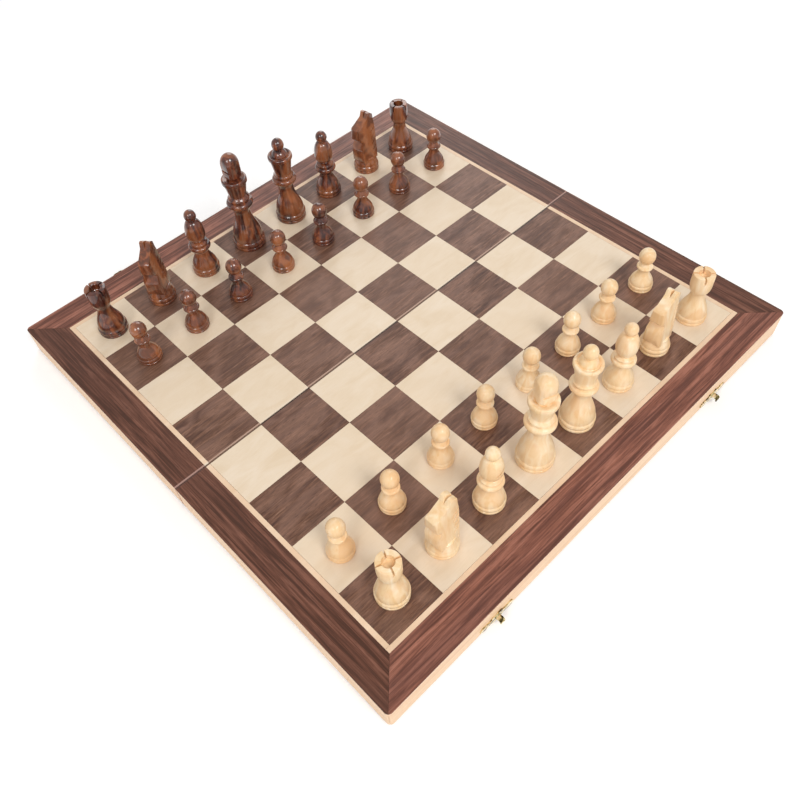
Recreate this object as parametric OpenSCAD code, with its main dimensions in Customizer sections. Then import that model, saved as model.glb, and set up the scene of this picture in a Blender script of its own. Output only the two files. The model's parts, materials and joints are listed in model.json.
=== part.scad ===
// Folding chess box, opened flat as a board, with its 32 turned chessmen set out on it.
// Two shallow trays are joined by mortised butt hinges along the middle of the board. Each
// tray carries half of the squares on its back. The front tray has the two catches and the
// back tray has the two hasps that drop over them when the box is closed.
// +X runs along the fold, +Y from the light side to the dark side, +Z up. The origin is the
// middle of the front tray's edge on the fold, in the plane of the rims that stand on the table.

/* [Board] */
// Side of the square board when the box is open
board_side = 380; // [360:1:420]
// Side of one playing square
square_side = 41; // [36:0.5:42]
// Width of the pale line inlaid round the squares
line_w = 3.2; // [1:0.1:5]
// Gap between the two trays at the fold
fold_gap = 0.4; // [0.3:0.05:0.8]
// Thickness of the veneer on the playing surface
veneer_t = 0.8; // [0.5:0.1:1.5]
// Glue line left between two pieces of veneer
glue_line = 0.1; // [0.05:0.01:0.2]
// Radius of the four outer corners
corner_r = 3; // [1.5:0.5:6]

/* [Trays] */
// Height of the tray walls below the panel
wall_h = 16; // [14:0.5:30]
// Thickness of the tray walls
wall_t = 8; // [8:0.5:12]
// Thickness of the panel that carries the veneer
panel_t = 3.2; // [2:0.1:6]
// Thickness of the felt glued inside each tray
felt_t = 0.8; // [0.4:0.1:1.5]
// Clearance between the felt and the walls
felt_gap = 0.3; // [0.1:0.1:1]
// Joint left between two walls at a mitre
mitre_gap = 0.1; // [0.05:0.05:0.2]

/* [Hinges] */
// Distance of each hinge from the middle of the fold
hinge_x = 118; // [80:1:150]
// Length of a hinge along the fold
hinge_len = 25; // [20:1:36]
// Outer radius of the knuckles
knuckle_r = 1.4; // [1.2:0.1:1.6]
// Radius of the hinge pin
pin_r = 0.7; // [0.5:0.05:0.85]
// Radial clearance of the pin in its knuckles
pin_fit = 0.05; // [0.02:0.01:0.08]
// Thickness of the hinge leaves
leaf_t = 1; // [0.8:0.1:1.4]
// Reach of each leaf from the pin's axis
leaf_reach = 7.4; // [6.5:0.1:7.6]
// Drop of the pin's axis below the rims, half the gap between the rims of the closed box
axis_drop = 0.1; // [0.05:0.05:0.3]
// Gap between neighbouring knuckles
knuckle_gap = 0.2; // [0.1:0.05:0.4]
// Clearance of the hinge in its mortise
mortise_gap = 0.1; // [0.05:0.05:0.2]

/* [Latches] */
// Distance of each latch from the middle of the board
latch_x = 107; // [70:1:140]
// Length of a latch plate along the wall
plate_len = 28; // [24:1:34]
// Height of a latch plate at its wide part
plate_h = 7.6; // [7:0.2:8.4]
// Thickness of a latch plate
plate_t = 0.8; // [0.6:0.1:1.2]
// Height of the latches' middle above the rim
latch_z = 4.6; // [4.4:0.1:6]
// Reach of the hook in front of its plate
hook_reach = 4.4; // [3.5:0.1:5.5]
// Width of the hook
hook_w = 3.6; // [2.5:0.1:4]
// Thickness of the hook
hook_t = 1; // [0.7:0.1:1.2]
// Radius of the hasp's knuckles
hasp_knuckle_r = 1.2; // [1:0.1:1.4]
// Radius of the hasp's pin
hasp_pin_r = 0.55; // [0.4:0.05:0.7]
// Length of the hasp's tongue from its pin
tongue_len = 16.4; // [15.5:0.1:18]
// Width of the tongue
tongue_w = 9.6; // [9:0.2:12]
// Thickness of the tongue
tongue_t = 0.8; // [0.6:0.1:1]
// Length of the slot in the tongue
slot_len = 6.2; // [5.8:0.1:7]
// Width of the slot in the tongue
slot_w = 5.6; // [5:0.1:6.4]
// Angle of the left tongue above level as it was left
left_tongue_tilt = -10; // [-20:1:40]
// Angle of the right tongue above level as it was left
right_tongue_tilt = 12; // [-20:1:40]

/* [Screws] */
// Radius of a screw's head
head_r = 1.7; // [1.5:0.1:1.9]
// Radius of a screw's shank
shank_r = 0.9; // [0.7:0.05:1.1]
// Length of a screw
screw_len = 6; // [4:0.5:7]
// Clearance round a screw
screw_gap = 0.05; // [0.02:0.01:0.1]

/* [Chessmen] */
// Height of a king to the top of its finial
king_h = 81; // [65:1:90]
// Height of a queen
queen_h = 71; // [58:1:80]
// Height of a bishop
bishop_h = 56; // [48:1:65]
// Height of a knight
knight_h = 50; // [44:1:58]
// Height of a rook
rook_h = 41; // [36:1:50]
// Height of a pawn
pawn_h = 34.5; // [30:0.5:42]
// Radius of a king's foot
king_foot_r = 12.4; // [11:0.1:14]
// Radius of a queen's foot
queen_foot_r = 11.8; // [10.5:0.1:13.5]
// Radius of a bishop's foot
bishop_foot_r = 10.2; // [9:0.1:12]
// Radius of a knight's foot
knight_foot_r = 10.3; // [9:0.1:12]
// Radius of a rook's foot
rook_foot_r = 10.5; // [9:0.1:12]
// Radius of a pawn's foot
pawn_foot_r = 8.7; // [7.5:0.1:10]
// Gap under a standing man
seat_gap = 0.05; // [0.02:0.01:0.2]

/* [Hidden] */
$fn = 48;
eps = 0.01;
half_depth = (board_side - fold_gap) / 2;
half_len = board_side / 2;
panel_z = wall_h;
veneer_z = wall_h + panel_t;
top_z = veneer_z + veneer_t;
field_w = 8 * square_side;
line_edge = field_w / 2 + line_w;
field_depth = 4 * square_side - fold_gap / 2;
line_depth = field_depth + line_w;
axis_y = fold_gap / 2;
axis_z = -axis_drop;
hasp_axis_out = plate_t + hasp_knuckle_r + 0.2;
hasp_axis_z = latch_z + 2.6;
hasp_knuckle_w = 4.6;
slot_start = hasp_axis_z + 2 * axis_drop + latch_z - slot_len / 2 - hook_t / 2;

walnut = "#7A5548";
maple = "#EFD9BC";
beech = "#F3D3B4";
light_wood = "#F6DDB4";
dark_wood = "#6A3620";
brass_tone = "#C9A24F";
felt_tone = "#3F5A3C";

RANK_1 = ["rook", "knight", "bishop", "king", "queen", "bishop", "knight", "rook"];
FILES = "abcdefgh";
// How far each man stands off the middle of its square, in mm, as the men were set out by hand
BACK_NUDGE = [
    [0.8, -0.6], [0.4, 0.3], [-0.5, 0.4], [0.4, 0.6],
    [-0.4, 0.3], [0.5, -0.3], [0.3, 0.4], [-0.8, -1.6]
];
PAWN_NUDGE = [
    [-2.2, -1.8], [-1, -0.8], [0.6, 0.4], [-0.4, 0.6],
    [0.5, -0.4], [0.8, 0.3], [-0.6, 0.5], [0, -0.4]
];
DARK_BACK_NUDGE = [
    [-1, -1], [0.6, -0.8], [-0.4, -0.6], [-0.4, -1],
    [0.6, -0.8], [-0.5, -0.6], [0.4, -0.8], [-1.8, -1.8]
];
DARK_PAWN_NUDGE = [
    [2.4, -1.8], [1.8, -2], [1, -0.8], [0.4, -0.6],
    [-0.5, -0.4], [0.6, -0.5], [-0.4, -0.3], [-0.8, 0.2]
];
// How far each man of the back ranks is turned, by file. Knights are drawn facing +X,
// bishops with the slit towards -X, and kings with their finial's notches on the X sides
LIGHT_TURNS = [0, 182, 138, 68, 0, 200, 184, 0];
DARK_TURNS = [0, 220, 240, 4, 0, 260, 186, 0];

// ---------------------------------------------------------------- helpers

// Points along an arc of an ellipse in a profile, as [radius, height]
function arc(centre, rx, rz, from, to, steps) =
    [for (i = [0:steps]) let (a = from + (to - from) * i / steps)
        [centre[0] + rx * cos(a), centre[1] + rz * sin(a)]];

// Points along a hollow curve from one [radius, height] to another, steepest at its lower end
function cove(start, end, power, steps) =
    [for (i = [0:steps]) let (t = i / steps)
        [end[0] + (start[0] - end[0]) * pow(1 - t, power), start[1] + (end[1] - start[1]) * t]];

// Places a shape drawn for a tray that runs from y = 0 away from the fold
module on_tray(lid) {
    if (lid) {
        translate([0, fold_gap, 0]) children();
    } else {
        mirror([0, 1, 0]) children();
    }
}

// Rounds the two outer corners of whatever is drawn for a tray
module round_outer_corners() {
    difference() {
        children();
        for (side = [-1, 1]) {
            difference() {
                translate([side * half_len - corner_r, half_depth - corner_r, -1])
                    cube([2 * corner_r, 2 * corner_r, top_z + 2]);
                translate([side * (half_len - corner_r), half_depth - corner_r, -2])
                    cylinder(r = corner_r, h = top_z + 4);
                translate([side * (half_len - 2 * corner_r) - corner_r, half_depth - 2 * corner_r, -2])
                    cube([2 * corner_r, 2 * corner_r, top_z + 4]);
                translate([side * (half_len - 2 * corner_r) - corner_r, half_depth - corner_r, -2])
                    cube([2 * corner_r, 2 * corner_r, top_z + 4]);
                translate([side * half_len - corner_r, half_depth - 2 * corner_r, -2])
                    cube([2 * corner_r, corner_r, top_z + 4]);
            }
        }
    }
}

// Profile of a countersunk screw, point upwards, with its head's face at the origin
module screw_body(gap) {
    rotate_extrude()
        polygon([
            [0, 0], [head_r + gap, 0], [head_r + gap, 0.2], [shank_r + gap, head_r - shank_r + 0.2],
            [shank_r + gap, screw_len - 1 + gap], [0, screw_len + gap]
        ]);
}

// ---------------------------------------------------------------- trays

module panel(lid) {
    color(beech)
        on_tray(lid)
            round_outer_corners()
                translate([-half_len, 0, panel_z])
                    cube([board_side, half_depth, panel_t]);
}

// Three walnut strips round the line, mitred where they meet
module border(lid) {
    inner = line_edge + glue_line;
    inner_depth = line_depth + glue_line;
    color(walnut)
        on_tray(lid)
            round_outer_corners()
                translate([0, 0, veneer_z]) {
                    linear_extrude(veneer_t)
                        polygon([
                            [-half_len + glue_line, half_depth], [half_len - glue_line, half_depth],
                            [inner - glue_line, inner_depth], [-inner + glue_line, inner_depth]
                        ]);
                    for (side = [-1, 1]) {
                        linear_extrude(veneer_t)
                            polygon([
                                [side * inner, 0], [side * half_len, 0],
                                [side * half_len, half_depth - glue_line],
                                [side * inner, inner_depth - glue_line]
                            ]);
                    }
                }
}

// The pale inlaid line: one strip along the rank and one down each side
module line(lid) {
    color(maple)
        on_tray(lid)
            translate([0, 0, veneer_z]) {
                translate([-line_edge, field_depth + glue_line, 0])
                    cube([2 * line_edge, line_w - glue_line, veneer_t]);
                for (side = [-1, 1]) {
                    translate([side * (line_edge + (glue_line - line_w) / 2), field_depth / 2, veneer_t / 2])
                        cube([line_w - glue_line, field_depth, veneer_t], center = true);
                }
            }
}

// Sixteen squares of one colour; the squares at the fold give up half of the gap
module squares(lid, dark) {
    first = lid ? 0 : 1;
    color(dark ? walnut : maple)
        on_tray(lid)
            for (file = [0:7], rank = [0:3]) {
                if ((file + rank + first + (dark ? 0 : 1)) % 2 == 0) {
                    near = max(0, rank * square_side - fold_gap / 2);
                    far = (rank + 1) * square_side - fold_gap / 2;
                    translate([(file - 4) * square_side + glue_line / 2, near + glue_line / 2, veneer_z])
                        cube([square_side - glue_line, far - near - glue_line, veneer_t]);
                }
            }
}

// Mortise for a hinge in the rim of a hinge wall, with its screws' holes
module hinge_mortises() {
    for (side = [-1, 1]) {
        translate([side * hinge_x, 0, 0]) {
            translate([-hinge_len / 2 - mortise_gap, -1, -1])
                cube([
                    hinge_len + 2 * mortise_gap,
                    1 + leaf_reach - axis_y + mortise_gap,
                    1 + leaf_t + mortise_gap
                ]);
            translate([-hinge_len / 2 - mortise_gap, -axis_y, axis_z])
                rotate([0, 90, 0])
                    cylinder(r = knuckle_r + 2 * mortise_gap, h = hinge_len + 2 * mortise_gap);
            hinge_screw_places()
                screw_body(screw_gap);
        }
    }
}

// Places of a leaf's two screws, measured from the middle of the hinge and the tray's edge
module hinge_screw_places() {
    for (end = [-1, 1]) {
        translate([end * hinge_len * 0.32, leaf_reach - axis_y - head_r - 0.9, 0])
            children();
    }
}

module hinge_wall(lid) {
    color(beech)
        on_tray(lid)
            difference() {
                linear_extrude(wall_h)
                    polygon([
                        [-half_len + mitre_gap, 0], [half_len - mitre_gap, 0],
                        [half_len - wall_t - mitre_gap, wall_t], [-half_len + wall_t + mitre_gap, wall_t]
                    ]);
                hinge_mortises();
            }
}

// Places of a latch plate's two screws on the outer wall, pointing into the wood
module latch_screw_places() {
    for (side = [-1, 1], end = [-1, 1]) {
        translate([side * latch_x + end * (plate_len / 2 - 2.6), half_depth + plate_t, latch_z])
            rotate([90, 0, 0])
                children();
    }
}

module outer_wall(lid) {
    color(beech)
        on_tray(lid)
            difference() {
                round_outer_corners()
                    linear_extrude(wall_h)
                        polygon([
                            [-half_len + mitre_gap, half_depth], [half_len - mitre_gap, half_depth],
                            [half_len - wall_t - mitre_gap, half_depth - wall_t],
                            [-half_len + wall_t + mitre_gap, half_depth - wall_t]
                        ]);
                latch_screw_places()
                    screw_body(screw_gap);
            }
}

module side_walls(lid) {
    color(beech)
        on_tray(lid)
            round_outer_corners()
                for (side = [-1, 1]) {
                    linear_extrude(wall_h)
                        polygon([
                            [side * half_len, mitre_gap], [side * half_len, half_depth - mitre_gap],
                            [side * (half_len - wall_t), half_depth - wall_t - mitre_gap],
                            [side * (half_len - wall_t), wall_t + mitre_gap]
                        ]);
                }
}

module felt(lid) {
    color(felt_tone)
        on_tray(lid)
            translate([-half_len + wall_t + felt_gap, wall_t + felt_gap, panel_z - felt_t])
                cube([board_side - 2 * (wall_t + felt_gap), half_depth - 2 * (wall_t + felt_gap), felt_t]);
}

// ---------------------------------------------------------------- hinges

knuckle_count = 5;
knuckle_pitch = hinge_len / knuckle_count;

// Two leaves with the knuckles that are theirs; first is 0 for the outer set and 1 for the inner
module hinge_leaves(lid, first) {
    web_from = knuckle_r + 2 * mortise_gap;
    color(brass_tone)
        for (side = [-1, 1]) {
            translate([side * hinge_x, 0, 0])
                difference() {
                    union() {
                        on_tray(lid)
                            translate([-hinge_len / 2, web_from - axis_y, 0])
                                cube([hinge_len, leaf_reach - web_from, leaf_t]);
                        for (k = [first:2:knuckle_count - 1]) {
                            knuckle_x = -hinge_len / 2 + k * knuckle_pitch + knuckle_gap / 2;
                            translate([knuckle_x, axis_y, axis_z])
                                rotate([0, 90, 0])
                                    cylinder(r = knuckle_r, h = knuckle_pitch - knuckle_gap);
                            on_tray(lid)
                                translate([knuckle_x, -axis_y, 0])
                                    cube([knuckle_pitch - knuckle_gap, web_from + eps, leaf_t]);
                        }
                    }
                    translate([-hinge_len, axis_y, axis_z])
                        rotate([0, 90, 0])
                            cylinder(r = pin_r + pin_fit, h = 2 * hinge_len);
                    on_tray(lid)
                        hinge_screw_places()
                            screw_body(screw_gap);
                }
        }
}

module hinge_pins() {
    color(brass_tone)
        for (side = [-1, 1]) {
            translate([side * hinge_x - hinge_len / 2, axis_y, axis_z])
                rotate([0, 90, 0])
                    cylinder(r = pin_r, h = hinge_len);
        }
}

// The hinge screws and the latch-plate screws of one tray
module screws(lid) {
    color(brass_tone)
        on_tray(lid) {
            for (side = [-1, 1]) {
                translate([side * hinge_x, 0, 0])
                    hinge_screw_places()
                        screw_body(0);
            }
            latch_screw_places()
                screw_body(0);
        }
}

// ---------------------------------------------------------------- latches

// A latch plate on the outer wall, with its screws' countersinks
module latch_plate() {
    difference() {
        translate([0, half_depth, latch_z])
            rotate([90, 0, 0])
                translate([0, 0, -plate_t])
                    linear_extrude(plate_t)
                        plate_shape();
        translate([-latch_x, 0, 0])
            latch_screw_places()
                screw_body(screw_gap);
        translate([latch_x, 0, 0])
            latch_screw_places()
                screw_body(screw_gap);
    }
}

// Outline of a stamped latch plate: wide in the middle, waisted, with pointed spade ends
module plate_shape() {
    tip = plate_len / 2;
    end_r = plate_h * 0.36;
    neck = plate_h * 0.27;
    belly = plate_h / 2;
    polygon([
        [-tip, 0], [-tip + end_r * 0.5, end_r * 0.8], [-tip + end_r * 1.5, end_r],
        [-tip + end_r * 2.4, neck], [-belly * 1.3, neck], [-belly, belly],
        [belly, belly], [belly * 1.3, neck], [tip - end_r * 2.4, neck],
        [tip - end_r * 1.5, end_r], [tip - end_r * 0.5, end_r * 0.8], [tip, 0],
        [tip - end_r * 0.5, -end_r * 0.8], [tip - end_r * 1.5, -end_r], [tip - end_r * 2.4, -neck],
        [belly * 1.3, -neck], [belly, -belly], [-belly, -belly],
        [-belly * 1.3, -neck], [-tip + end_r * 2.4, -neck],
        [-tip + end_r * 1.5, -end_r], [-tip + end_r * 0.5, -end_r * 0.8]
    ]);
}

// Bent hook that stands out of the catch and turns down towards the rim
module hook() {
    bend = hook_t + 0.6;
    translate([-hook_w / 2, half_depth + plate_t - eps, latch_z]) {
        translate([0, 0, bend - hook_t])
            cube([hook_w, hook_reach - bend, hook_t]);
        translate([0, hook_reach - bend, 0])
            intersection() {
                rotate([0, 90, 0])
                    difference() {
                        cylinder(r = bend, h = hook_w);
                        translate([0, 0, -1])
                            cylinder(r = bend - hook_t, h = hook_w + 2);
                    }
                cube([hook_w, bend, bend]);
            }
        translate([0, hook_reach - hook_t, -bend + 0.4])
            cube([hook_w, hook_t, bend - 0.4 + eps]);
    }
}

module catch_plates() {
    color(brass_tone)
        on_tray(false)
            for (side = [-1, 1]) {
                translate([side * latch_x, 0, 0]) {
                    latch_plate();
                    hook();
                }
            }
}

// Tube of a hasp knuckle with the web that joins it to its plate
module hasp_knuckle(width) {
    difference() {
        union() {
            translate([-width / 2, half_depth + hasp_axis_out, hasp_axis_z])
                rotate([0, 90, 0])
                    cylinder(r = hasp_knuckle_r, h = width);
            translate([-width / 2, half_depth + plate_t / 2, hasp_axis_z - hasp_knuckle_r])
                cube([width, hasp_axis_out - plate_t / 2, hasp_knuckle_r]);
        }
        translate([-width, half_depth + hasp_axis_out, hasp_axis_z])
            rotate([0, 90, 0])
                cylinder(r = hasp_pin_r + pin_fit, h = 2 * width);
    }
}

module hasp_plates() {
    side_w = (tongue_w - hasp_knuckle_w) / 2 - knuckle_gap;
    color(brass_tone)
        on_tray(true)
            for (side = [-1, 1]) {
                translate([side * latch_x, 0, 0]) {
                    latch_plate();
                    for (end = [-1, 1]) {
                        translate([end * (hasp_knuckle_w / 2 + knuckle_gap + side_w / 2), 0, 0])
                            hasp_knuckle(side_w);
                    }
                }
            }
}

module hasp_pins() {
    color(brass_tone)
        on_tray(true)
            for (side = [-1, 1]) {
                translate([side * latch_x, half_depth + hasp_axis_out, hasp_axis_z])
                    rotate([0, 90, 0])
                        cylinder(r = hasp_pin_r, h = tongue_w - 2 * knuckle_gap, center = true);
            }
}

// Slotted tongue, drawn level and then tilted about its pin
module hasp(side, tilt) {
    root = hasp_knuckle_r + 0.4;
    shoulder = tongue_w / 2;
    tip_r = 3;
    color(brass_tone)
        on_tray(true)
            translate([side * latch_x, half_depth + hasp_axis_out, hasp_axis_z])
                rotate([tilt, 0, 0])
                    difference() {
                        union() {
                            rotate([0, 90, 0])
                                translate([0, 0, -hasp_knuckle_w / 2])
                                    cylinder(r = hasp_knuckle_r, h = hasp_knuckle_w);
                            translate([-hasp_knuckle_w / 2, 0, -tongue_t / 2])
                                cube([hasp_knuckle_w, root + eps, tongue_t]);
                            translate([0, 0, -tongue_t / 2])
                                linear_extrude(tongue_t)
                                    polygon(concat(
                                        [[-shoulder, root], [shoulder, root],
                                         [shoulder, tongue_len - tip_r]],
                                        arc([shoulder - tip_r, tongue_len - tip_r], tip_r, tip_r, 0, 90, 6),
                                        arc([tip_r - shoulder, tongue_len - tip_r], tip_r, tip_r, 90, 180, 6)
                                    ));
                            translate([-tongue_w / 4, tongue_len - 1.6, 0])
                                rotate([0, 90, 0])
                                    cylinder(r = 1, h = tongue_w / 2);
                        }
                        rotate([0, 90, 0])
                            translate([0, 0, -tongue_w])
                                cylinder(r = hasp_pin_r + pin_fit, h = 2 * tongue_w);
                        translate([-slot_w / 2, slot_start, -1])
                            cube([slot_w, slot_len, 2]);
                    }
}

// ---------------------------------------------------------------- chessmen

// Foot and skirt that the turned men share, from the centre of the foot up to the waist
function skirt(foot_r, waist_r, waist_z) =
    let (band = foot_r * 0.19, bulge = foot_r * 0.2, start_z = band + 2 * bulge)
    concat(
        [[0, 0], [foot_r - 0.9, 0]],
        arc([foot_r - 0.9, 0.7], 0.7, 0.7, -60, 0, 2),
        arc([foot_r - 0.6, band - 0.4], 0.4, 0.4, 0, 60, 2),
        [[foot_r * 0.955, band + 0.1]],
        arc([foot_r * 0.85, band + bulge], foot_r * 0.15, bulge, -50, 50, 6),
        [for (i = [0:10]) let (t = i / 10)
            [waist_r + (foot_r * 0.925 - waist_r) * (1 + cos(180 * t)) / 2,
             start_z + (waist_z - start_z) * t]]
    );

// Flare and double ring above the waist; the lower ring is the thicker one
function collar(waist_r, collar_r, collar_z, ring) = concat(
    [[waist_r + 0.3, collar_z - 2.2 * ring], [collar_r * 0.84, collar_z - 1.1 * ring]],
    arc([collar_r - ring * 0.9, collar_z], ring * 0.9, ring, -60, 70, 6),
    [[collar_r * 0.76, collar_z + ring * 1.1]],
    arc([collar_r * 0.76 - 0.2, collar_z + ring * 1.7], 0.8, ring * 0.55, -60, 80, 4)
);

module turned(points) {
    rotate_extrude()
        polygon(points);
}

module king(turn) {
    crown_r = king_foot_r * 0.75;
    neck_r = king_foot_r * 0.52;
    knob_r = king_foot_r * 0.54;
    waist_r = king_foot_r * 0.49;
    band_z = king_h * 0.705;
    rim_z = king_h * 0.755;
    turned(concat(
        skirt(king_foot_r, waist_r, king_h * 0.38),
        collar(waist_r, king_foot_r * 0.8, king_h * 0.485, king_h * 0.03),
        cove([neck_r, king_h * 0.575], [crown_r - 0.8, band_z], 0.9, 6),
        arc([crown_r - 1, band_z + 1], 1, 1, -60, 0, 3),
        arc([crown_r - 1.2, rim_z - 1.2], 1.2, 1.2, 0, 90, 4),
        [[knob_r * 1.05, rim_z - 0.2], [knob_r * 0.7, rim_z - 1.2], [0, rim_z - 1.2]]
    ));
    rotate([0, 0, turn])
        king_finial(knob_r, rim_z - 1.3);
}

// Domed finial with four flats, notched on two sides so that it has the outline of a cross
module king_finial(knob_r, low_z) {
    side_z = king_h * 0.905;
    flat = knob_r * 0.84;
    notch_z = king_h * 0.85;
    difference() {
        intersection() {
            turned(concat(
                [[0, low_z], [knob_r * 0.72, low_z], [knob_r * 0.68, king_h * 0.772]],
                arc([knob_r - 0.8, king_h * 0.79], 0.8, 0.8, -70, 0, 3),
                arc([0, side_z], knob_r, king_h - side_z, 0, 90, 8)
            ));
            translate([-flat, -flat, low_z])
                cube([2 * flat, 2 * flat, king_h]);
        }
        for (side = [-1, 1]) {
            translate([side * flat - 0.8, -knob_r, notch_z - 0.7])
                cube([1.6, 2 * knob_r, 1.4]);
        }
    }
}

module queen() {
    crown_r = queen_foot_r * 0.78;
    neck_r = queen_foot_r * 0.54;
    waist_r = queen_foot_r * 0.49;
    ball_r = queen_foot_r * 0.39;
    ball_h = ball_r * 1.1;
    band_z = queen_h * 0.765;
    rim_z = queen_h * 0.81;
    dome_r = crown_r * 0.66;
    turned(concat(
        skirt(queen_foot_r, waist_r, queen_h * 0.4),
        collar(waist_r, queen_foot_r * 0.78, queen_h * 0.51, queen_h * 0.032),
        cove([neck_r, queen_h * 0.605], [crown_r - 0.8, band_z], 0.85, 6),
        arc([crown_r - 1, band_z + 1], 1, 1, -60, 0, 3),
        arc([crown_r - 1.2, rim_z - 1.2], 1.2, 1.2, 0, 110, 5),
        [[dome_r + 0.5, rim_z - 1]],
        arc([0, rim_z - 1], dome_r, queen_h - 1.7 * ball_h - rim_z + 1, 4, 66, 5),
        arc([0, queen_h - ball_h], ball_r, ball_h, -60, 90, 10)
    ));
}

// The mitre's slit opens towards -X; turn turns the man so that it opens elsewhere
module bishop(turn) {
    waist_r = bishop_foot_r * 0.5;
    mitre_r = bishop_foot_r * 0.7;
    mitre_z = bishop_h * 0.65;
    mitre_top = bishop_h * 0.85;
    ball_r = bishop_foot_r * 0.43;
    ball_h = ball_r * 1.05;
    slit_w = 0.9;
    rotate([0, 0, turn])
        difference() {
            turned(concat(
                skirt(bishop_foot_r, waist_r, bishop_h * 0.345),
                collar(waist_r, bishop_foot_r * 0.8, bishop_h * 0.43, bishop_h * 0.034),
                arc([mitre_r * 0.35, mitre_z], mitre_r * 0.65, bishop_h * 0.13, -70, 0, 5),
                arc([mitre_r * 0.35, mitre_z], mitre_r * 0.65, mitre_top - mitre_z, 12, 84, 6),
                arc([0, bishop_h - ball_h], ball_r, ball_h, -46, 90, 9)
            ));
            translate([-mitre_r * 0.35, 0, mitre_z + 0.5])
                rotate([0, 35, 0])
                    translate([-2 * mitre_r, -mitre_r, 0])
                        cube([2 * mitre_r, 2 * mitre_r, slit_w]);
        }
}

// Side view of a knight, facing +X, from inside its foot upwards, as parts of its height
KNIGHT_OUTLINE = [
    [0.15, 0.2], [0.175, 0.26], [0.185, 0.34], [0.18, 0.43], [0.15, 0.5], [0.115, 0.55],
    [0.12, 0.585], [0.165, 0.6], [0.185, 0.63], [0.19, 0.8], [0.17, 0.825],
    [-0.03, 0.92], [-0.06, 1], [-0.1, 1], [-0.16, 0.955], [-0.18, 0.75], [-0.175, 0.55],
    [-0.185, 0.4], [-0.19, 0.3], [-0.16, 0.2]
];

// The body above the foot, sawn flat on both sides, with the ears parted and the mane cut in
module knight_body() {
    low = knight_h * 0.135;
    high = knight_h * 0.075;
    slope = atan2(low - high, knight_h * 0.65);
    groove_w = 0.7;
    groove_depth = 0.5;
    difference() {
        intersection() {
            rotate([90, 0, 0])
                linear_extrude(2 * knight_foot_r, center = true)
                    polygon(KNIGHT_OUTLINE * knight_h);
            rotate([90, 0, 90])
                linear_extrude(4 * knight_foot_r, center = true)
                    polygon([
                        [-low, knight_h * 0.2], [low, knight_h * 0.2], [high, knight_h * 0.85],
                        [high, knight_h * 1.1], [-high, knight_h * 1.1], [-high, knight_h * 0.85]
                    ]);
            cylinder(r = knight_foot_r * 0.97, h = 2 * knight_h);
        }
        rotate([90, 0, 90])
            linear_extrude(knight_foot_r * 4, center = true)
                polygon([[0, knight_h * 0.91], [high * 0.5, knight_h * 1.1], [-high * 0.5, knight_h * 1.1]]);
        for (side = [-1, 1], k = [0:3]) {
            translate([-knight_h * 0.07, side * low, knight_h * (0.36 + 0.1 * k)])
                rotate([side * slope, 0, 0])
                    translate([0, side * (-low + knight_h * (0.12 - 0.009 * k) - groove_depth), 0])
                        rotate([0, 35, 0])
                            translate([-knight_h * 0.14, side > 0 ? 0 : -2 * groove_depth, 0])
                                cube([knight_h * 0.15, 2 * groove_depth, groove_w]);
        }
    }
}

module knight(turn) {
    shoulder_z = knight_h * 0.25;
    rotate([0, 0, turn]) {
        turned(concat(
            skirt(knight_foot_r, knight_foot_r * 0.76, shoulder_z - 0.6),
            [[knight_foot_r * 0.66, shoulder_z], [0, shoulder_z]]
        ));
        knight_body();
    }
}

module rook() {
    neck_r = rook_foot_r * 0.47;
    rim_r = rook_foot_r * 0.69;
    cup_z = rook_h * 0.78;
    hollow_r = rim_r * 0.52;
    hollow_depth = rook_h * 0.12;
    slit_depth = rook_h * 0.1;
    slit_w = 1.1;
    difference() {
        turned(concat(
            skirt(rook_foot_r, neck_r, rook_h * 0.56),
            [[neck_r, rook_h * 0.59]],
            arc([neck_r, cup_z], rim_r - neck_r, rook_h * 0.16, -80, 0, 6),
            [[rim_r, rook_h - 0.6], [rim_r - 0.6, rook_h], [hollow_r, rook_h],
             [hollow_r - 0.3, rook_h - hollow_depth], [0, rook_h - hollow_depth]]
        ));
        // Four narrow embrasures
        for (turn = [10, 100]) {
            rotate([0, 0, turn])
                translate([-2 * rim_r, -slit_w / 2, rook_h - slit_depth])
                    cube([4 * rim_r, slit_w, 2 * slit_depth]);
        }
    }
}

module pawn() {
    head_r = pawn_foot_r * 0.66;
    head_h = head_r * 1.1;
    waist_r = pawn_foot_r * 0.43;
    turned(concat(
        skirt(pawn_foot_r, waist_r, pawn_h * 0.46),
        [[waist_r, pawn_h * 0.5]],
        arc([pawn_foot_r * 0.5, pawn_h * 0.555], pawn_foot_r * 0.15, pawn_h * 0.035, -80, 80, 5),
        arc([0, pawn_h - head_h], head_r, head_h, -58, 90, 12)
    ));
}

// One man on its square. Files run from 0 to 7 along +X and ranks from 0 to 7 along +Y
module man(kind, dark, file, rank, nudge, turn) {
    middle_x = (file - 3.5) * square_side;
    middle_y = (rank - 3.5) * square_side + axis_y;
    color(dark ? dark_wood : light_wood)
        translate([middle_x + nudge[0], middle_y + nudge[1], top_z + seat_gap]) {
            if (kind == "king") king(turn);
            if (kind == "queen") queen();
            if (kind == "bishop") bishop(turn);
            if (kind == "knight") knight(turn);
            if (kind == "rook") rook();
            if (kind == "pawn") pawn();
        }
}

// ---------------------------------------------------------------- nodes

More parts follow.
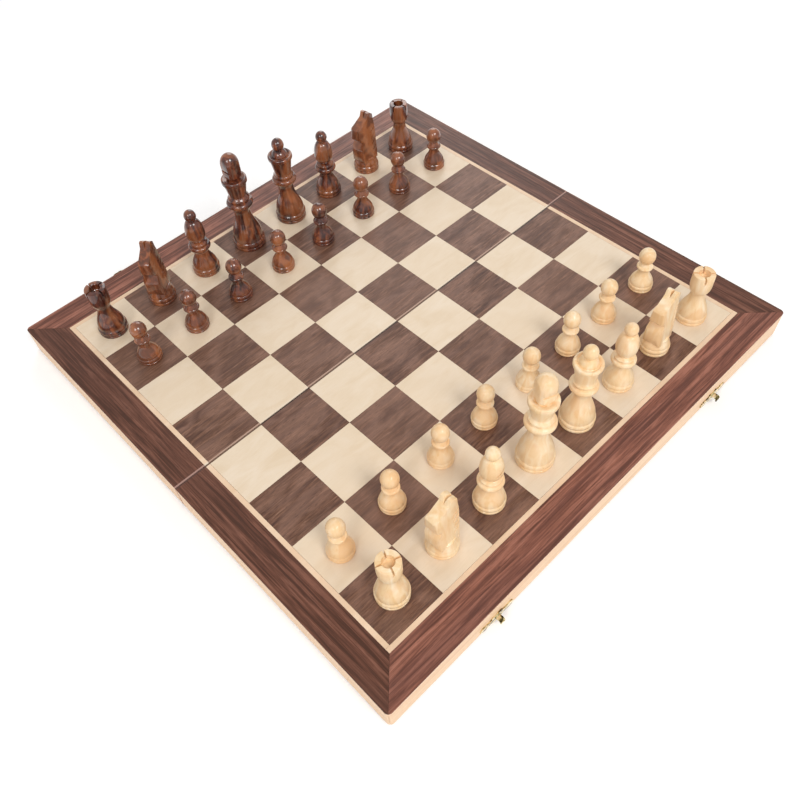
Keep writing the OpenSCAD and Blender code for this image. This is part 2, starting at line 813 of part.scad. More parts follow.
panel(false);  // base_panel
border(false);  // base_border
line(false);  // base_line
squares(false, true);  // base_dark_squares
squares(false, false);  // base_light_squares
outer_wall(false);  // base_outer_wall
hinge_wall(false);  // base_hinge_wall
side_walls(false);  // base_side_walls
felt(false);  // base_felt
panel(true);  // lid_panel
border(true);  // lid_border
line(true);  // lid_line
squares(true, true);  // lid_dark_squares
squares(true, false);  // lid_light_squares
outer_wall(true);  // lid_outer_wall
hinge_wall(true);  // lid_hinge_wall
side_walls(true);  // lid_side_walls
felt(true);  // lid_felt
hinge_leaves(false, 0);  // base_hinge_leaves
hinge_leaves(true, 1);  // lid_hinge_leaves
hinge_pins();
screws(false);  // base_screws
screws(true);  // lid_screws
catch_plates();
hasp_plates();
hasp_pins();
hasp(-1, left_tongue_tilt);  // hasp_left
hasp(1, right_tongue_tilt);  // hasp_right
for (file = [0:7]) {
    man(RANK_1[file], false, file, 0, BACK_NUDGE[file], LIGHT_TURNS[file]);
    man("pawn", false, file, 1, PAWN_NUDGE[file], 0);
    man(RANK_1[file], true, file, 7, DARK_BACK_NUDGE[file], DARK_TURNS[file]);
    man("pawn", true, file, 6, DARK_PAWN_NUDGE[file], 0);
}
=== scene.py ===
"""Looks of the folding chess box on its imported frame: veneers, beech, brass, felt, turned men."""

import json
import math

import bpy
from mathutils import Matrix, Vector


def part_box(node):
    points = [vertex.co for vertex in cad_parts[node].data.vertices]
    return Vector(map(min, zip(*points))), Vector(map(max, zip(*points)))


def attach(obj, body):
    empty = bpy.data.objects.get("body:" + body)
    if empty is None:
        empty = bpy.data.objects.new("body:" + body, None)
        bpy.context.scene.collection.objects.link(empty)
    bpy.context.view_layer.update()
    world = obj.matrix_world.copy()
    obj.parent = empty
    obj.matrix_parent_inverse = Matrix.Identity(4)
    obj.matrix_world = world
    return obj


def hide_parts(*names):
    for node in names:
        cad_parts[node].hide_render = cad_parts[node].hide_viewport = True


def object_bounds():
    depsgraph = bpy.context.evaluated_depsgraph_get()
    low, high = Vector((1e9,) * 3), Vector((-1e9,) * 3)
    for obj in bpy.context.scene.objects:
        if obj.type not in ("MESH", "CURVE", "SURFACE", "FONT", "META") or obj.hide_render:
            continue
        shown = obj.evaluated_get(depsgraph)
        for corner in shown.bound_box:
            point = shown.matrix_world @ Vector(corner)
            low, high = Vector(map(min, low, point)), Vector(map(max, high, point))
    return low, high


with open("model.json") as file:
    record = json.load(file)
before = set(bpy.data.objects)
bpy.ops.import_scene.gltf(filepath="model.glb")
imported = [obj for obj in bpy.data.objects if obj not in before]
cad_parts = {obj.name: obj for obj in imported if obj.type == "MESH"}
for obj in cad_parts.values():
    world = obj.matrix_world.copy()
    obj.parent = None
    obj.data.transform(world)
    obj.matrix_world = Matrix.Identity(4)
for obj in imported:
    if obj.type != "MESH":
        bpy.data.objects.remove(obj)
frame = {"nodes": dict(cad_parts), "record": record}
bounds_at_load = [list(corner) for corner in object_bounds()]

MM = 0.001
SQUARE = 41 * MM  # side of one playing square
FOLD_Y = 0.2 * MM  # middle of the gap between the two trays
BOARD_TOP = 20 * MM  # height of the playing surface above the rims
LINE_EDGE = 167.2 * MM  # outer edge of the inlaid line, from the middle of the board
LONG, ACROSS, UPRIGHT = 0, 1, 2  # the axis that a grain runs along


# ---------------------------------------------------------------- materials
# Pores, rays and tool marks are drawn two or three times as wide as real ones, so that they show

LACQUER_IOR = 1.5
WALNUT_PORE_DEPTH = 0.04 * MM
FLECK_DEPTH = 0.03 * MM
SEAM_HIGHLIGHT = (FOLD_Y + 0.7 * MM, 0.6 * MM)  # middle and half width of the painted highlight along the lid's edge at the seam
SEAM_SHADE = (FOLD_Y - 0.6 * MM, 0.5 * MM)  # the same for the painted shade along the base's edge at the seam
TOOL_RING = 0.748 * MM  # from one ring that the lathe tool left to the next
WAVE_TURN = 20.0  # radians that Blender's wave bands turn through per metre at scale 1


def linear(code):
    """A colour like '#7A5548' as the linear values that a shader takes."""
    parts = [int(code[i:i + 2], 16) / 255 for i in (1, 3, 5)]
    return [c / 12.92 if c <= 0.04045 else ((c + 0.055) / 1.055) ** 2.4 for c in parts] + [1.0]


def add(tree, kind, inputs=None, stops=(), **settings):
    """Adds a node with its settings and links. An input goes by its name, or by its number among
    the live ones. Its value is a number, a vector, a colour code, a socket, or a node for its
    first output."""
    made = tree.nodes.new("ShaderNode" + kind)
    for key, value in settings.items():
        setattr(made, key, value)
    if stops:
        band = made.color_ramp.elements
        while len(band) < len(stops):
            band.new(0.5)
        for element, (at, colour) in zip(band, stops):
            element.position, element.color = at, linear(colour)
    live = [socket for socket in made.inputs if socket.enabled]
    for key, value in (inputs or {}).items():
        socket = live[key] if isinstance(key, int) else next(s for s in live if s.name == key)
        if isinstance(value, bpy.types.Node):
            value = next(s for s in value.outputs if s.enabled)
        if isinstance(value, bpy.types.NodeSocket):
            tree.links.new(value, socket)
        else:
            socket.default_value = linear(value) if isinstance(value, str) else value
    return made


def start(name):
    """The empty node tree of a new material."""
    material = bpy.data.materials.new(name)
    material.use_nodes = True
    material.node_tree.nodes.clear()
    return material.node_tree


def finish_with(tree, shader):
    add(tree, "OutputMaterial", {"Surface": shader})
    return next(m for m in bpy.data.materials if m.node_tree == tree)


def figure(tree, where, size, length=None, along=LONG, detail=4.0, rough=0.55, bend=0.0):
    """Noise in spots about size mm wide. With a length, they are streaks that long along the
    grain."""
    if length:
        squeeze = [1.0, 1.0, 1.0]
        squeeze[along] = size / length
        where = add(tree, "VectorMath", {0: where, 1: squeeze}, operation="MULTIPLY")
    return add(tree, "TexNoise", {"Vector": where, "Scale": 1 / (size * MM), "Detail": detail,
                                  "Roughness": rough, "Distortion": bend})


def toned(tree, pattern, low, high, stops):
    """Colours that go through the stops as the pattern goes from low to high."""
    level = add(tree, "MapRange", {0: pattern, 1: low, 2: high})
    return add(tree, "ValToRGB", {"Fac": level}, stops=stops)


def glaze(tree, wood, colour, pattern, low, high, most):
    """A colour over the wood: none of it where the pattern is at low, the most where at high."""
    cover = add(tree, "MapRange", {0: pattern, 1: low, 2: high, 4: most})
    return add(tree, "Mix", {0: cover, "A": wood, "B": colour}, data_type="RGBA")


def each_square(tree, where):
    """A random value and a random shift of the grain for each playing square."""
    moved = add(tree, "VectorMath", {0: where, 1: (0.0, -FOLD_Y, 0.0)}, operation="ADD")
    cell = add(tree, "VectorMath", {0: moved, 1: (SQUARE, SQUARE, 1.0)}, operation="DIVIDE")
    whole = add(tree, "VectorMath", {0: cell}, operation="FLOOR")
    random = add(tree, "TexWhiteNoise", {"Vector": whole}, noise_dimensions="3D")
    shifted = add(tree, "VectorMath", {0: random.outputs["Color"], 1: (3.0, 3.0, 3.0), 2: where},
                  operation="MULTIPLY_ADD")
    return random.outputs["Value"], shifted


def painted_seam_light(tree, where, wood, seam_highlight_colour, seam_shade_colour):
    """Wood where the trays meet: a pale line along the lid's edge is a painted highlight, and a
    dark line along the base's edge is painted shade in the seam.
    """
    y = add(tree, "SeparateXYZ", {"Vector": where}).outputs["Y"]
    # first the painted highlight on the lid's edge, then the painted shade on the base's edge
    for (middle, half), colour in ((SEAM_HIGHLIGHT, seam_highlight_colour), (SEAM_SHADE, seam_shade_colour)):
        near = add(tree, "Math", {0: y, 1: middle, 2: half}, operation="COMPARE")
        wood = add(tree, "Mix", {0: near, "A": wood, "B": colour}, data_type="RGBA")
    return wood


def lacquered(tree, wood, dents, pattern, low, high, smooth, dull, gloss=0.35):
    """The wood under satin lacquer, which is dullest where the pattern is high."""
    rough = add(tree, "MapRange", {0: pattern, 1: low, 2: high, 3: smooth, 4: dull})
    return finish_with(tree, add(tree, "BsdfPrincipled", {
        "Base Color": wood, "Roughness": rough, "Normal": dents, "IOR": LACQUER_IOR,
        "Specular IOR Level": gloss}))


def walnut_border(name, along, stops, heart):
    """Sliced walnut in long strips under satin lacquer: stripes two millimetres wide, broad bands
    of heartwood, short ripples and open pores."""
    tree = start(name)
    where = add(tree, "TexCoord").outputs["Object"]
    stripes = figure(tree, where, 2.1, 60.0, along, detail=5.0, rough=0.6, bend=0.7)
    bands = figure(tree, where, 9.0, 160.0, along, detail=2.0, bend=0.6)
    ripple = figure(tree, where, 1.1, 9.0, along, detail=3.0, rough=0.6, bend=0.3)
    pores = figure(tree, where, 0.45, 7.0, along, detail=2.0)
    wood = toned(tree, stripes, 0.39, 0.61, stops)
    wood = glaze(tree, wood, heart, bands, 0.42, 0.62, 0.4)
    wood = glaze(tree, wood, stops[0][1], ripple, 0.5, 0.7, 0.35)
    wood = glaze(tree, wood, "#3E261F", pores, 0.58, 0.72, 0.5)
    # painted highlight and painted shade along the seam at the fold
    wood = painted_seam_light(tree, where, wood, "#A98579", "#54382F")
    dents = add(tree, "Bump", {"Height": pores, "Distance": WALNUT_PORE_DEPTH, "Strength": 0.3},
                invert=True)
    return lacquered(tree, wood, dents, pores, 0.4, 0.7, 0.4, 0.52)


def walnut_squares(name):
    """Walnut veneer cut in squares: fine short streaks, clouds and pores, and a tone of its own
    for each square."""
    tree = start(name)
    where = add(tree, "TexCoord").outputs["Object"]
    tone, place = each_square(tree, where)
    streaks = figure(tree, place, 1.3, 16.0, detail=5.0, rough=0.65, bend=0.5)
    bands = figure(tree, place, 3.2, 42.0, detail=3.0, bend=0.8)
    clouds = figure(tree, place, 12.0, 30.0, detail=2.0, bend=0.6)
    pores = figure(tree, place, 0.4, 4.5, detail=2.0)
    wood = toned(tree, streaks, 0.3, 0.7, (
        (0.0, "#482B1E"), (0.4, "#644331"), (0.7, "#7A5542"), (1.0, "#95705B")))
    wood = glaze(tree, wood, "#4A2F28", bands, 0.44, 0.62, 0.6)
    wood = glaze(tree, wood, "#A07A68", clouds, 0.42, 0.6, 0.35)
    wood = glaze(tree, wood, "#35211A", pores, 0.57, 0.7, 0.6)
    wood = glaze(tree, wood, "#8F6C5A", tone, 0.0, 1.0, 0.3)
    # painted highlight and painted shade along the seam at the fold
    wood = painted_seam_light(tree, where, wood, "#B59582", "#3E2A22")
    dents = add(tree, "Bump", {"Height": pores, "Distance": WALNUT_PORE_DEPTH, "Strength": 0.3},
                invert=True)
    return lacquered(tree, wood, dents, pores, 0.4, 0.7, 0.38, 0.5)


def maple(name, by_square, stops):
    """Pale maple veneer under the same lacquer: nearly plain cream, faint clouds and flecks."""
    tree = start(name)
    where = add(tree, "TexCoord").outputs["Object"]
    tone, place = each_square(tree, where) if by_square else (0.5, where)
    clouds = figure(tree, place, 12.0, 30.0, detail=3.0, bend=0.8)
    flecks = figure(tree, place, 0.7, 9.0, detail=3.0)
    wood = toned(tree, clouds, 0.3, 0.7, stops)
    wood = glaze(tree, wood, "#D3B892", flecks, 0.5, 0.75, 0.18)
    wood = glaze(tree, wood, stops[0][1], tone, 0.0, 1.0, 0.35)
    # painted highlight and painted shade along the seam at the fold
    wood = painted_seam_light(tree, where, wood, "#E9D6BE", "#6B5040")
    dents = add(tree, "Bump", {"Height": flecks, "Distance": FLECK_DEPTH, "Strength": 0.2})
    return lacquered(tree, wood, dents, flecks, 0.4, 0.7, 0.36, 0.44)


def beech(name, along):
    """Planed beech under thin lacquer: warm pale tan with the short dark flecks of its rays."""
    tree = start(name)
    where = add(tree, "TexCoord").outputs["Object"]
    growth = figure(tree, where, 2.2, 70.0, along, detail=4.0, bend=0.5)
    rays = figure(tree, where, 0.35, 2.4, along, detail=2.0)
    wood = toned(tree, growth, 0.3, 0.7, ((0.0, "#E9BF97"), (0.5, "#F2CDA8"), (1.0, "#F8DAB9")))
    wood = glaze(tree, wood, "#C9956E", rays, 0.6, 0.74, 0.4)
    # painted highlight and painted shade along the seam at the fold
    wood = painted_seam_light(tree, where, wood, "#E6B899", "#B98464")
    dents = add(tree, "Bump", {"Height": rays, "Distance": FLECK_DEPTH, "Strength": 0.25},
                invert=True)
    return lacquered(tree, wood, dents, growth, 0.3, 0.7, 0.42, 0.5, gloss=0.3)


def turned_wood(name, stops, patch, rough, coat):
    """Wood turned on a lathe and lacquered: upright growth rings, warmer patches, tool rings.
    Each man stands on its own square, which gives it its own tone."""
    tree = start(name)
    where = add(tree, "TexCoord").outputs["Object"]
    tone, place = each_square(tree, where)
    rings = figure(tree, place, 4.2, 26.0, UPRIGHT, detail=3.0, rough=0.5, bend=0.9)
    patches = figure(tree, place, 15.0, 30.0, UPRIGHT, detail=2.0, bend=0.6)
    pores = figure(tree, place, 0.4, 4.0, UPRIGHT, detail=3.0)
    tool = add(tree, "TexWave", {"Vector": where, "Scale": math.tau / (WAVE_TURN * TOOL_RING),
                                 "Distortion": 1.2, "Detail": 1.0},
               wave_type="BANDS", bands_direction="Z")
    patchy = add(tree, "MapRange", {0: patches, 1: 0.5, 2: 0.58, 4: 0.5})
    paler = add(tree, "MapRange", {0: tone, 1: 0.4, 2: 1.0, 4: 0.35})
    warm = add(tree, "Math", {0: patchy, 1: paler}, operation="ADD")
    wood = toned(tree, rings, 0.3, 0.7, stops)
    wood = add(tree, "Mix", {0: warm, "A": wood, "B": patch}, data_type="RGBA")
    wood = glaze(tree, wood, stops[0][1], pores, 0.56, 0.72, 0.2)
    relief = add(tree, "Math", {0: pores, 1: tool.outputs["Fac"]}, operation="ADD")
    dents = add(tree, "Bump", {"Height": relief, "Distance": 0.015 * MM, "Strength": 0.3})
    return finish_with(tree, add(tree, "BsdfPrincipled", {
        "Base Color": wood, "Roughness": rough, "Normal": dents, "IOR": LACQUER_IOR,
        "Specular IOR Level": 0.3, "Coat Weight": coat, "Coat Roughness": 0.06,
        "Coat IOR": 1.6}))


def brass(name):
    """Stamped sheet brass, thinly plated: pale yellow metal with rub marks, and blotches painted
    dark brown for dark reflections and shade."""
    tree = start(name)
    where = add(tree, "TexCoord").outputs["Object"]
    rubs = figure(tree, where, 0.5, 3.0, detail=3.0, rough=0.6)
    dark_reflection_blotches = figure(tree, where, 3.4, detail=3.0, rough=0.55)
    # painted dark reflections and shade: noise blotches that go from pale metal to near black
    metal = toned(tree, dark_reflection_blotches, 0.34, 0.66, (
        (0.0, "#FAF3D6"), (0.45, "#E9DAAC"), (0.62, "#98854F"), (0.85, "#2B2114")))
    rough = add(tree, "MapRange", {0: rubs, 1: 0.3, 2: 0.7, 3: 0.12, 4: 0.25})
    dents = add(tree, "Bump", {"Height": rubs, "Distance": 0.02 * MM, "Strength": 0.3})
    return finish_with(tree, add(tree, "BsdfPrincipled", {
        "Base Color": metal, "Metallic": 1.0, "Roughness": rough, "Normal": dents}))


def felt(name):
    """Short pressed green felt: matt, mottled by its fibres."""
    tree = start(name)
    where = add(tree, "TexCoord").outputs["Object"]
    fibres = figure(tree, where, 0.5, detail=5.0, rough=0.75, bend=1.0)
    wool = add(tree, "ValToRGB", {"Fac": fibres}, stops=((0.3, "#203A26"), (0.7, "#40664A")))
    nap = add(tree, "Bump", {"Height": fibres, "Distance": 0.3 * MM, "Strength": 0.6})
    return finish_with(tree, add(tree, "BsdfPrincipled", {
        "Base Color": wool, "Roughness": 0.95, "Normal": nap, "Sheen Weight": 0.4,
        "Sheen Roughness": 0.5, "IOR": 1.5}))


# The side strips: the same walnut as the front and back strips, with darker stops and heartwood
# painted in as shade
WALNUT_PAINTED_DARKER = walnut_border("walnut_strips_across_the_fold", ACROSS, (
    (0.0, "#482819"), (0.35, "#5F3828"), (0.65, "#6F4534"), (1.0, "#855745")), "#503024")
BEECH_ACROSS = beech("planed_beech_across_the_fold", ACROSS)
LOOKS = {
    "beech_panel": beech("planed_beech_panel", LONG),
    "beech_walls": beech("planed_beech_along_the_fold", LONG),
    # The front and back strips: lighter stops than the side strips, which carry the painted shade
    "walnut_border": walnut_border("walnut_strips_along_the_fold", LONG, (
        (0.0, "#5F372A"), (0.35, "#7A4A3B"), (0.65, "#8F5A48"), (1.0, "#A56D5A")), "#674037"),
    "walnut_squares": walnut_squares("walnut_veneer_squares"),
    "maple_line": maple("maple_inlaid_line", False, (
        (0.0, "#E6C4A2"), (0.5, "#EBCCAD"), (1.0, "#F1D6BA"))),
    "maple_squares": maple("maple_veneer_squares", True, (
        (0.0, "#E2CCAF"), (0.5, "#E8D4BA"), (1.0, "#ECDAC3"))),
    "felt_lining": felt("pressed_green_felt"),
    "brass_fittings": brass("plated_brass"),
    "light_boxwood": turned_wood("light_lacquered_boxwood", (
        (0.0, "#F0CA96"), (0.35, "#F6D6A8"), (0.7, "#FADFB8"), (1.0, "#FDE8C8")),
        patch="#F0C28E", rough=0.38, coat=0.2),
    "dark_stained_wood": turned_wood("dark_stained_boxwood", (
        (0.0, "#280D07"), (0.35, "#43190E"), (0.7, "#69321C"), (1.0, "#935130")),
        patch="#AC673C", rough=0.34, coat=0.85),
}

slot_of = {part["node"]: part["material_slot"] for part in frame["record"]["subparts"]}
body_of = {node: body for body, nodes in frame["record"]["behaviour"]["bodies"].items()
           for node in nodes}
for node, shown in frame["nodes"].items():
    shown.data.materials.clear()
    shown.data.materials.append(LOOKS[slot_of[node]])

# The side walls and the side strips of the border have their grain across the fold, and the side
# strips take the walnut painted darker as shade
for tray in ("base", "lid"):
    frame["nodes"][tray + "_side_walls"].data.materials[0] = BEECH_ACROSS
    strips = frame["nodes"][tray + "_border"].data
    strips.materials.append(WALNUT_PAINTED_DARKER)
    for face in strips.polygons:
        on_side = abs(face.center.x) - LINE_EDGE > abs(face.center.y) - LINE_EDGE
        face.material_index = int(on_side)


# ---------------------------------------------------------------- chessmen
# Profiles are lists of (radius, height) in mm, from the middle of the foot to the top

ROUND = 80  # facets round a turned man
DOUBLES = 0.002 * MM  # points closer than this are one
SHADED_SMOOTH = 34  # degrees, up to which an edge is shaded smooth
SANDED = 32  # degrees, from which a carved edge is sanded round
BELL_STEPS = 20


def arc(centre, rx, rz, first, last, steps):
    """Points along an arc of an ellipse."""
    turns = [math.radians(first + (last - first) * i / steps) for i in range(steps + 1)]
    return [(centre[0] + rx * math.cos(a), centre[1] + rz * math.sin(a)) for a in turns]


def cove(low, high, power, steps=10):
    """A hollow curve between two points."""
    parts = [i / steps for i in range(steps + 1)]
    return [(high[0] + (low[0] - high[0]) * (1 - t) ** power, low[1] + (high[1] - low[1]) * t)
            for t in parts]


def skirt(foot, waist, waist_z):
    """Foot with its groove and ring, and the bell above it up to the waist."""
    band, bulge = foot * 0.19, foot * 0.2
    wide, low = foot * 0.925, band + 2 * bulge
    bell = [(waist + (wide - waist) * (1 + math.cos(math.pi * i / BELL_STEPS)) / 2,
             low + (waist_z - low) * i / BELL_STEPS) for i in range(BELL_STEPS + 1)]
    return ([(0.0, 0.0), (foot - 0.9, 0.0)]
            + arc((foot - 0.9, 0.7), 0.7, 0.7, -60, 0, 4)
            + arc((foot - 0.6, band - 0.4), 0.4, 0.4, 0, 70, 4)
            + [(foot * 0.945, band)]
            + arc((foot * 0.85, band + bulge), foot * 0.15, bulge, -56, 56, 12)
            + [(foot * 0.915, low - 0.1)] + bell)


def collar(waist, wide, middle, ring):
    """Flare and double ring above the waist."""
    return ([(waist + 0.3, middle - 2.2 * ring), (wide * 0.84, middle - 1.1 * ring)]
            + arc((wide - ring * 0.9, middle), ring * 0.9, ring, -60, 70, 12)
            + [(wide * 0.75, middle + ring * 1.1)]
            + arc((wide * 0.76 - 0.2, middle + ring * 1.7), 0.8, ring * 0.55, -60, 80, 8))


def crown_wall(neck, neck_z, crown, band_z, rim_z, hollow, lip_turn, lip_steps):
    """Crown that flares from the neck to its band and has a rounded lip."""
    return (cove((neck, neck_z), (crown - 0.8, band_z), hollow)
            + arc((crown - 1, band_z + 1), 1, 1, -60, 0, 5)
            + arc((crown - 1.2, rim_z - 1.2), 1.2, 1.2, 0, lip_turn, lip_steps))


def trace(outline):
    """Draws an outline in the XZ plane by extruding one point from place to place. Stays in edit
    mode."""
    bpy.ops.object.select_all(action="DESELECT")
    bpy.ops.mesh.primitive_plane_add(size=MM)
    bpy.ops.object.mode_set(mode="EDIT")
    bpy.ops.mesh.select_all(action="SELECT")
    bpy.ops.mesh.merge(type="CENTER")
    bpy.ops.transform.translate(value=(outline[0][0] * MM, 0, outline[0][1] * MM))
    for (x, z), (next_x, next_z) in zip(outline, outline[1:]):
        bpy.ops.mesh.extrude_vertices_move(
            TRANSFORM_OT_translate={"value": ((next_x - x) * MM, 0, (next_z - z) * MM)})
    bpy.ops.mesh.select_all(action="SELECT")
    return bpy.context.object


def close_up():
    """Merges doubles, turns the faces outwards and leaves edit mode."""
    bpy.ops.mesh.select_all(action="SELECT")
    bpy.ops.mesh.remove_doubles(threshold=DOUBLES)
    bpy.ops.mesh.normals_make_consistent(inside=False)
    bpy.ops.object.mode_set(mode="OBJECT")


def turned(profile):
    """A closed shape turned from its profile."""
    made = trace(profile)
    bpy.ops.mesh.spin(steps=ROUND, angle=math.tau, center=(0, 0, 0), axis=(0, 0, 1))
    close_up()
    return made


def sawn(outline, half, turn=0):
    """A closed side view, sawn out of a board that is 2 * half mm thick, and turned about Z."""
    made = trace(outline + outline[:1])
    bpy.ops.mesh.remove_doubles(threshold=DOUBLES)
    bpy.ops.mesh.edge_face_add()
    bpy.ops.transform.translate(value=(0, -half * MM, 0))
    bpy.ops.mesh.extrude_region_move(TRANSFORM_OT_translate={"value": (0, 2 * half * MM, 0)})
    close_up()
    made.data.transform(Matrix.Rotation(math.radians(turn), 4, "Z"))
    return made


def cutter(size, centre, tilt=0, turn=0):
    """A block in mm, tilted about Y and then turned about Z, for a saw cut."""
    bpy.ops.object.select_all(action="DESELECT")
    bpy.ops.mesh.primitive_cube_add(size=1, scale=[v * MM for v in size])
    made = bpy.context.object
    bpy.ops.object.transform_apply(location=True, rotation=True, scale=True)
    tilted = Matrix.Rotation(math.radians(tilt), 4, "Y")
    spin = Matrix.Rotation(math.radians(turn), 4, "Z") @ tilted
    made.data.transform(Matrix.Translation([v * MM for v in centre]) @ spin)
    return made


def alone(piece):
    bpy.ops.object.select_all(action="DESELECT")
    bpy.context.view_layer.objects.active = piece
    piece.select_set(True)


def combine(piece, tool, operation="DIFFERENCE"):
    """Cuts with a tool, or joins it or keeps what is common, and throws the tool away."""
    change = piece.modifiers.new("cut", "BOOLEAN")
    change.operation, change.object, change.solver = operation, tool, "EXACT"
    alone(piece)
    bpy.ops.object.modifier_apply(modifier=change.name)
    bpy.data.objects.remove(tool, do_unlink=True)


def soften(piece, width):
    """Sands the carved edges round."""
    change = piece.modifiers.new("sanded", "BEVEL")
    change.width, change.segments = width * MM, 2
    change.limit_method, change.angle_limit = "ANGLE", math.radians(SANDED)
    alone(piece)
    bpy.ops.object.modifier_apply(modifier=change.name)


def make_king(foot, tall):
    """Turned body, and a finial with four flats and a notch across two of them."""
    crown, neck, knob, waist = foot * 0.75, foot * 0.52, foot * 0.54, foot * 0.49
    waist_z, collar_z, neck_z = tall * 0.38, tall * 0.485, tall * 0.575
    band_z, rim_z, dome_z = tall * 0.705, tall * 0.755, tall * 0.905
    king = turned(
        skirt(foot, waist, waist_z)
        + collar(waist, foot * 0.8, collar_z, tall * 0.03)
        + crown_wall(neck, neck_z, crown, band_z, rim_z, 0.9, 90, 6)
        + [(knob * 1.05, rim_z - 0.2), (knob * 0.7, rim_z - 1.2), (0, rim_z - 1.2)])
    flat, low, notch_z = knob * 0.84, rim_z - 1.3, tall * 0.85
    finial = turned(
        [(0, low), (knob * 0.72, low), (knob * 0.68, tall * 0.772)]
        + arc((knob - 0.8, tall * 0.79), 0.8, 0.8, -70, 0, 5)
        + arc((0, dome_z), knob, tall - dome_z, 0, 90, 14))
    combine(finial, cutter((2 * flat, 2 * flat, 3 * tall), (0, 0, tall)), "INTERSECT")
    for side in (-1, 1):
        combine(finial, cutter((1.6, 2 * knob, 1.4), (side * flat, 0, notch_z)))
    soften(finial, 0.25)
    combine(king, finial, "UNION")
    return king


def make_queen(foot, tall):
    crown, neck, waist, ball = foot * 0.78, foot * 0.54, foot * 0.49, foot * 0.39
    waist_z, collar_z, neck_z = tall * 0.4, tall * 0.51, tall * 0.605
    band_z, rim_z, dome, ball_h = tall * 0.765, tall * 0.81, crown * 0.66, ball * 1.1
    return turned(
        skirt(foot, waist, waist_z)
        + collar(waist, foot * 0.78, collar_z, tall * 0.032)
        + crown_wall(neck, neck_z, crown, band_z, rim_z, 0.85, 110, 8)
        + [(dome + 0.5, rim_z - 1)]
        + arc((0, rim_z - 1), dome, tall - 1.7 * ball_h - rim_z + 1, 4, 66, 10)
        + arc((0, tall - ball_h), ball, ball_h, -60, 90, 20))


def make_bishop(foot, tall):
    """Turned body with a sloping saw cut into one side of the mitre."""
    waist, mitre, ball = foot * 0.5, foot * 0.7, foot * 0.43
    waist_z, collar_z = tall * 0.345, tall * 0.43
    middle, top, ball_h = tall * 0.65, tall * 0.85, ball * 1.05
    bishop = turned(
        skirt(foot, waist, waist_z)
        + collar(waist, foot * 0.8, collar_z, tall * 0.034)
        + arc((mitre * 0.35, middle), mitre * 0.65, tall * 0.13, -70, 0, 10)
        + arc((mitre * 0.35, middle), mitre * 0.65, top - middle, 8, 84, 12)
        + arc((0, tall - ball_h), ball, ball_h, -46, 90, 18))
    reach, slit, tilt = 2 * mitre, 0.9, 35
    down, out = math.sin(math.radians(tilt)), math.cos(math.radians(tilt))
    centre = (-mitre * 0.35 - mitre * out + slit / 2 * down, 0,
              middle + 0.5 + mitre * down + slit / 2 * out)
    combine(bishop, cutter((reach, reach, slit), centre, tilt=tilt))
    return bishop


# Side view of a knight's body that looks towards +X, as (forward, height) in parts of its height
KNIGHT_SIDE = (
    (0.15, 0.2), (0.175, 0.26), (0.185, 0.34), (0.18, 0.43), (0.15, 0.5), (0.115, 0.55),
    (0.12, 0.585), (0.165, 0.6), (0.185, 0.63), (0.19, 0.8), (0.17, 0.825),
    (-0.03, 0.92), (-0.06, 1.0), (-0.1, 1.0), (-0.16, 0.955), (-0.18, 0.75), (-0.175, 0.55),
    (-0.185, 0.4), (-0.19, 0.3), (-0.16, 0.2))


def make_knight(foot, tall):
    """Turned foot, and a body sawn from a board, tapered upwards and cut with a few strokes."""
    low, high = tall * 0.135, tall * 0.075
    taper_z, brow_z, above = tall * 0.2, tall * 0.85, tall * 1.1
    body = sawn([(x * tall, z * tall) for x, z in KNIGHT_SIDE], foot)
    taper = sawn([(-low, taper_z), (low, taper_z), (high, brow_z), (high, above),
                  (-high, above), (-high, brow_z)], 2 * foot, turn=90)
    combine(body, taper, "INTERSECT")
    post = turned([(0, -1), (foot * 0.97, -1), (foot * 0.97, tall + 1), (0, tall + 1)])
    combine(body, post, "INTERSECT")
    between_ears = sawn([(0, tall * 0.91), (high * 0.5, above), (-high * 0.5, above)], 2 * foot,
                        turn=90)
    combine(body, between_ears)
    soften(body, 0.45)
    for side in (-1, 1):
        for k in range(4):
            z = tall * (0.36 + 0.1 * k)
            face = low - (low - high) * (z - taper_z) / (brow_z - taper_z)
            mane_stroke = cutter((tall * 0.15, 1.1, 0.7),
                                 (-tall * 0.13, side * face, z + tall * 0.04), tilt=35)
            combine(body, mane_stroke)
    shoulder = tall * 0.25
    knight = turned(skirt(foot, foot * 0.76, shoulder - 0.6)
                    + [(foot * 0.66, shoulder), (0, shoulder)])
    combine(knight, body, "UNION")
    return knight


def make_rook(foot, tall):
    """Turned body with a hollow top and two saw cuts across its rim."""
    neck, rim, cup_z = foot * 0.47, foot * 0.69, tall * 0.78
    hollow, floor_z = rim * 0.52, tall * 0.88
    rook = turned(
        skirt(foot, neck, tall * 0.56) + [(neck, tall * 0.59)]
        + arc((neck, cup_z), rim - neck, tall * 0.16, -80, 0, 12)
        + [(rim, tall - 0.6), (rim - 0.2, tall - 0.2), (rim - 0.6, tall), (hollow + 0.2, tall),
           (hollow, tall - 0.2), (hollow - 0.3, floor_z + 0.5), (hollow - 0.8, floor_z),
           (0, floor_z)])
    for turn in (10, 100):
        combine(rook, cutter((4 * rim, 1.1, tall * 0.2), (0, 0, tall), turn=turn))
    return rook


def make_pawn(foot, tall):
    head, waist = foot * 0.66, foot * 0.43
    head_h = head * 1.1
    return turned(
        skirt(foot, waist, tall * 0.46) + [(waist, tall * 0.5)]
        + arc((foot * 0.5, tall * 0.555), foot * 0.15, tall * 0.035, -80, 80, 10)
        + arc((0, tall - head_h), head, head_h, -58, 90, 24))


MAKERS = {"king": make_king, "queen": make_queen, "bishop": make_bishop, "knight": make_knight,
          "rook": make_rook, "pawn": make_pawn}
# How far the men that aren't round are turned on their squares, in degrees
TURNS = {
    "light_rook_a": 59, "light_knight_b": 182, "light_bishop_c": 138, "light_king_d": 68,
    "light_bishop_f": 200, "light_knight_g": 184, "light_rook_h": 30,
    "dark_knight_b": 220, "dark_bishop_c": 240, "dark_king_d": 4,
    "dark_bishop_f": 260, "dark_knight_g": 186}


